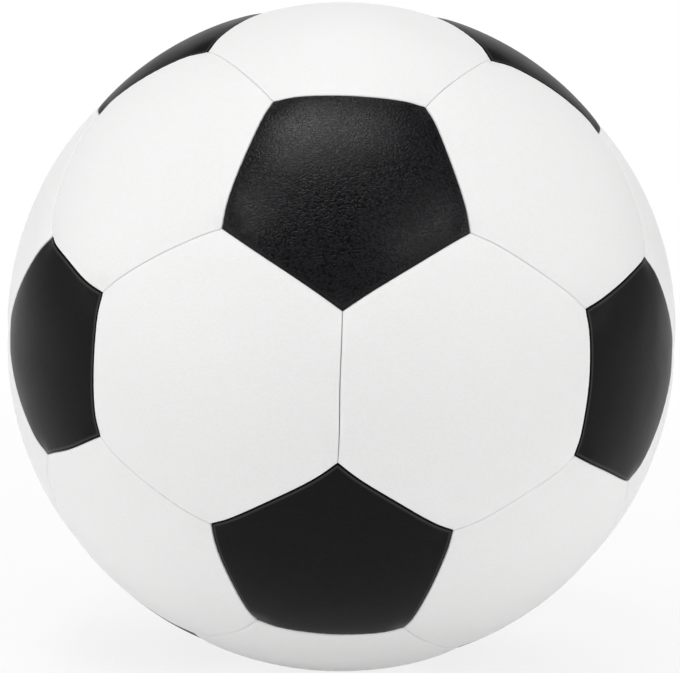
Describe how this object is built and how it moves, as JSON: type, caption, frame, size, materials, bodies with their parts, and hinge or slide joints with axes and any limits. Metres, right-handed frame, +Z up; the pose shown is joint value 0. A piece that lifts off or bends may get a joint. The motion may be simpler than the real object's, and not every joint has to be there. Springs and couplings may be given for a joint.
{
  "type": "foam soccer ball",
  "caption": "Soft foam soccer ball: domed black pentagon and white hexagon panels sewn edge to edge round a foam core.",
  "frame": {"origin": "centre of the ball", "axes": "+Z up, -Y to the front, where an upright seam between two white panels crosses the middle; each axis is a two-fold axis of the panel pattern"},
  "size_m": [0.2184, 0.2184, 0.2184],
  "materials": {
    "black_leathercloth": "satin",
    "white_leathercloth": "satin",
    "foam": "matte",
    "polyester_thread": "matte"
  },
  "bodies": {
    "root": {"foam_core": "foam", "seam_thread": "polyester_thread", "black_pentagon_01": "black_leathercloth", "black_pentagon_02": "black_leathercloth", "black_pentagon_03": "black_leathercloth", "black_pentagon_04": "black_leathercloth", "black_pentagon_05": "black_leathercloth", "black_pentagon_06": "black_leathercloth", "black_pentagon_07": "black_leathercloth", "black_pentagon_08": "black_leathercloth", "black_pentagon_09": "black_leathercloth", "black_pentagon_10": "black_leathercloth", "black_pentagon_11": "black_leathercloth", "black_pentagon_12": "black_leathercloth", "white_hexagon_01": "white_leathercloth", "white_hexagon_02": "white_leathercloth", "white_hexagon_03": "white_leathercloth", "white_hexagon_04": "white_leathercloth", "white_hexagon_05": "white_leathercloth", "white_hexagon_06": "white_leathercloth", "white_hexagon_07": "white_leathercloth", "white_hexagon_08": "white_leathercloth", "white_hexagon_09": "white_leathercloth", "white_hexagon_10": "white_leathercloth", "white_hexagon_11": "white_leathercloth", "white_hexagon_12": "white_leathercloth", "white_hexagon_13": "white_leathercloth", "white_hexagon_14": "white_leathercloth", "white_hexagon_15": "white_leathercloth", "white_hexagon_16": "white_leathercloth", "white_hexagon_17": "white_leathercloth", "white_hexagon_18": "white_leathercloth", "white_hexagon_19": "white_leathercloth", "white_hexagon_20": "white_leathercloth"}
  },
  "joints": []
}
